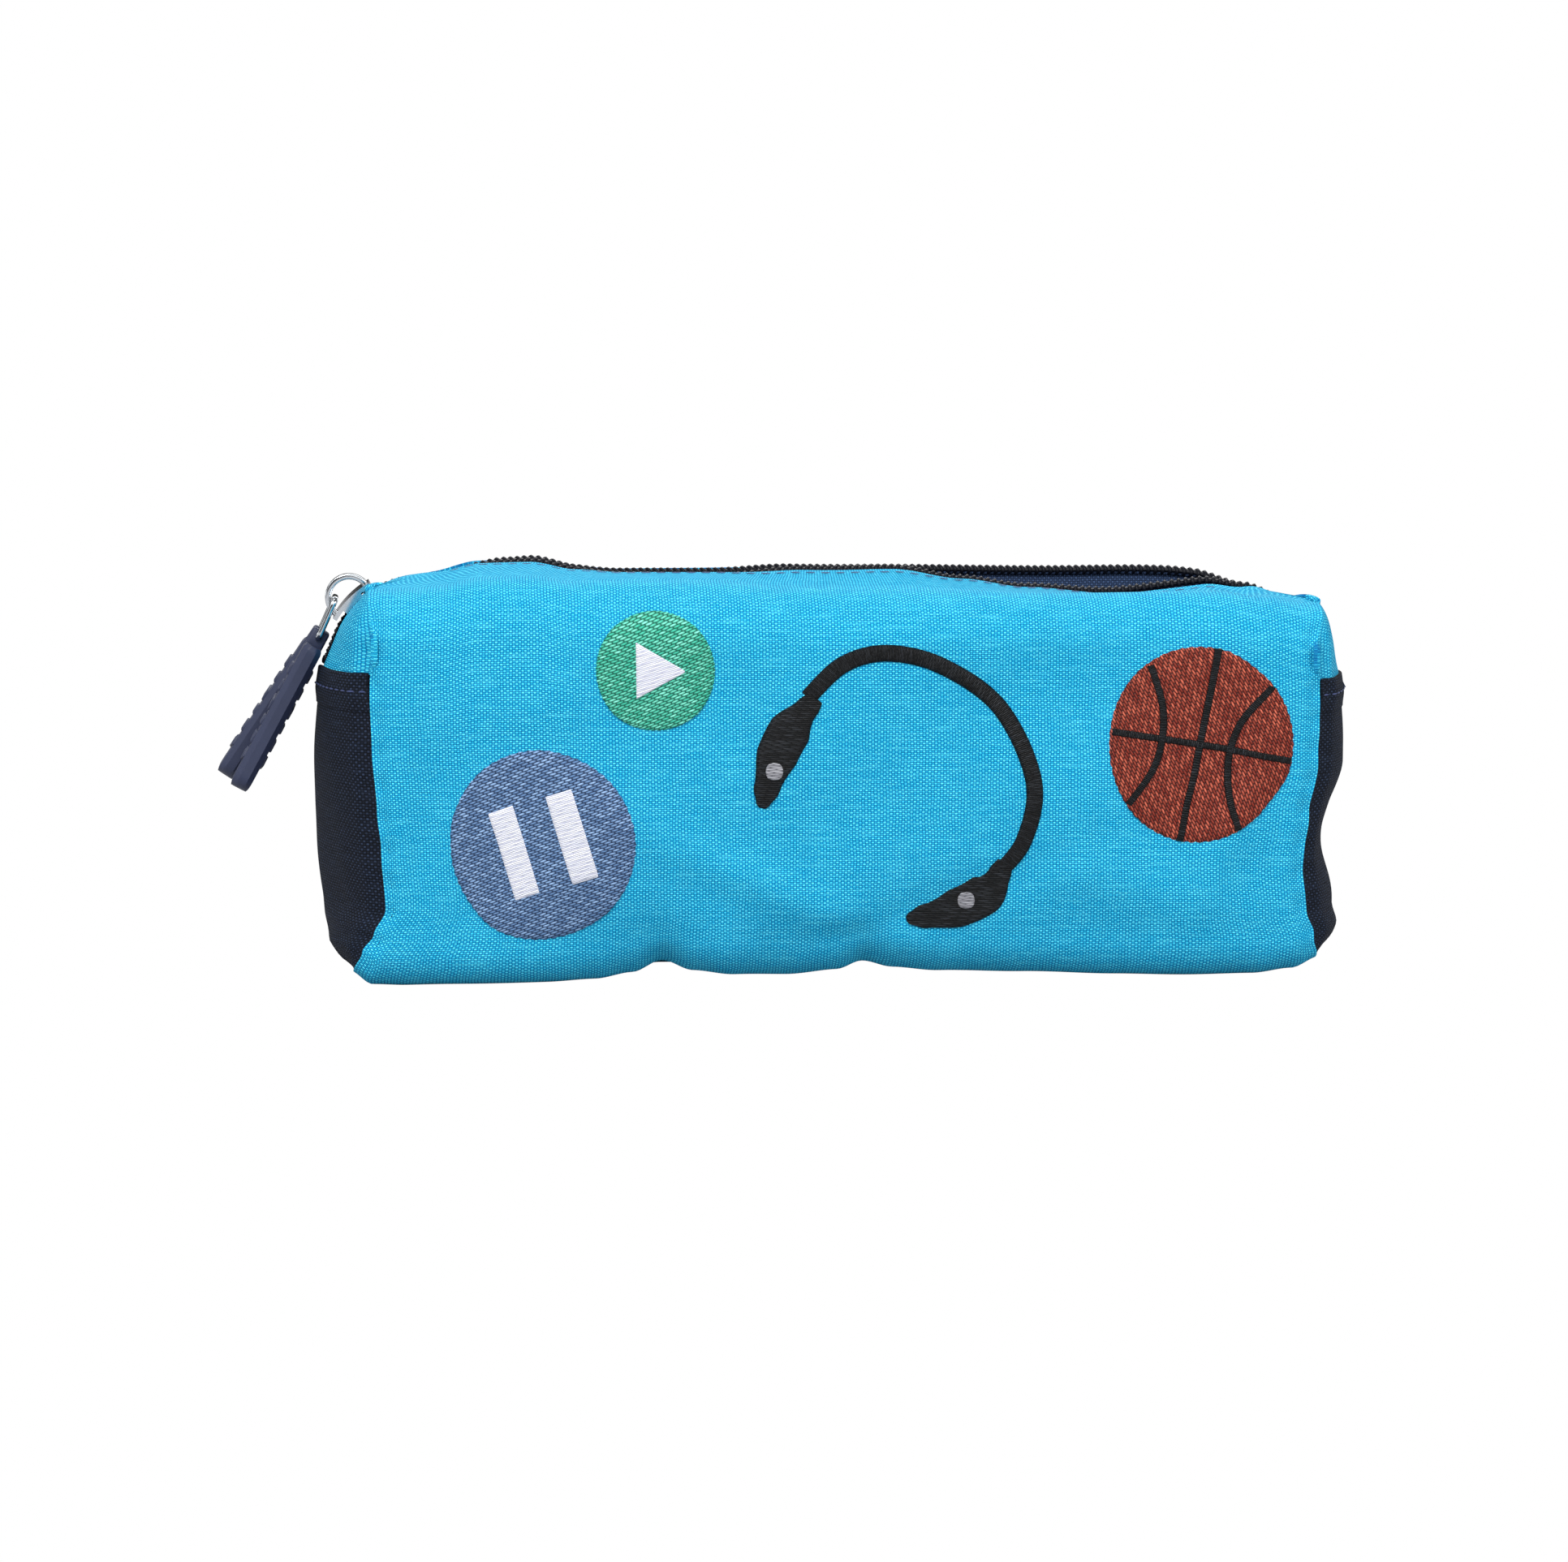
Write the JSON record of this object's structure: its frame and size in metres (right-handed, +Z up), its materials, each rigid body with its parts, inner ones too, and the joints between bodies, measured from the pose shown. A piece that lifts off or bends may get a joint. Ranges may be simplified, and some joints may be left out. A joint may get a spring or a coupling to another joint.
{
  "type": "pencil case",
  "caption": "Soft boxy zipped pencil case in canvas with embroidered front, open top zip, corner slider and two rubber pulls; holds pens and pencils.",
  "frame": {"origin": "centre of the base's rest face, midway between the four corner seams", "axes": "+X along the case, away from the pulls; +Y towards the plain back; +Z up"},
  "size_m": [0.2445, 0.0655, 0.0863],
  "materials": {
    "blue_canvas": "plain-weave polyester canvas, melange turquoise",
    "navy_canvas": "plain-weave polyester canvas, dark navy",
    "lining_cloth": "thin plain-weave lining, navy",
    "zip_tape": "knitted zip tape, navy",
    "zip_coil": "nylon coil",
    "chrome": "polished plated zinc",
    "grip_rubber": "soft matt moulded rubber",
    "thread_slate": "satin-stitch embroidery thread",
    "thread_white": "satin-stitch embroidery thread",
    "thread_green": "satin-stitch embroidery thread",
    "thread_black": "satin-stitch embroidery thread",
    "thread_grey": "satin-stitch embroidery thread",
    "thread_rust": "satin-stitch embroidery thread",
    "thread_navy": "twisted sewing thread"
  },
  "bodies": {
    "case": {"front_panel": "blue_canvas", "back_panel": "blue_canvas", "base_panel": "blue_canvas", "left_end_panel": "navy_canvas", "right_end_panel": "navy_canvas", "lining_front": "lining_cloth", "lining_back": "lining_cloth", "lining_base": "lining_cloth", "lining_left": "lining_cloth", "lining_right": "lining_cloth", "zip_tape_front": "zip_tape", "zip_tape_back": "zip_tape", "zip_coil_front": "zip_coil", "zip_coil_back": "zip_coil", "zip_stop_left": "zip_coil", "zip_stop_right": "zip_coil", "pause_disc": "thread_slate", "pause_bars": "thread_white", "play_disc": "thread_green", "play_triangle": "thread_white", "headphone_band": "thread_black", "headphone_dots": "thread_grey", "basketball_disc": "thread_rust", "basketball_lines": "thread_black", "zip_stitch_front": "thread_navy", "zip_stitch_back": "thread_navy", "hem_stitch_left": "thread_navy", "hem_stitch_right": "thread_navy"},
    "slider": {"slider_body": "chrome", "slider_crown": "chrome"},
    "ring": {"pull_ring": "chrome"},
    "front_pull": {"front_grip": "grip_rubber"},
    "rear_pull": {"rear_grip": "grip_rubber"}
  },
  "joints": [
    {"name": "slider_travel", "type": "hinge", "parent": "case", "child": "slider", "pos_m": [-0.0887, 0, 0.066], "axis": [0, 1, 0], "range_deg": [0, 43]},
    {"name": "ring_swing", "type": "hinge", "parent": "slider", "child": "ring", "pos_m": [-0.1068, 0, 0.08085], "axis": [0, 1, 0], "range_deg": [0, 120]},
    {"name": "front_grip_swing", "type": "hinge", "parent": "ring", "child": "front_pull", "pos_m": [-0.11046, 0, 0.07263], "axis": [0, 1, 0], "range_deg": [0, 60]},
    {"name": "rear_grip_swing", "type": "hinge", "parent": "ring", "child": "rear_pull", "pos_m": [-0.11046, 0, 0.07263], "axis": [0, 1, 0], "range_deg": [0, 60]}
  ]
}
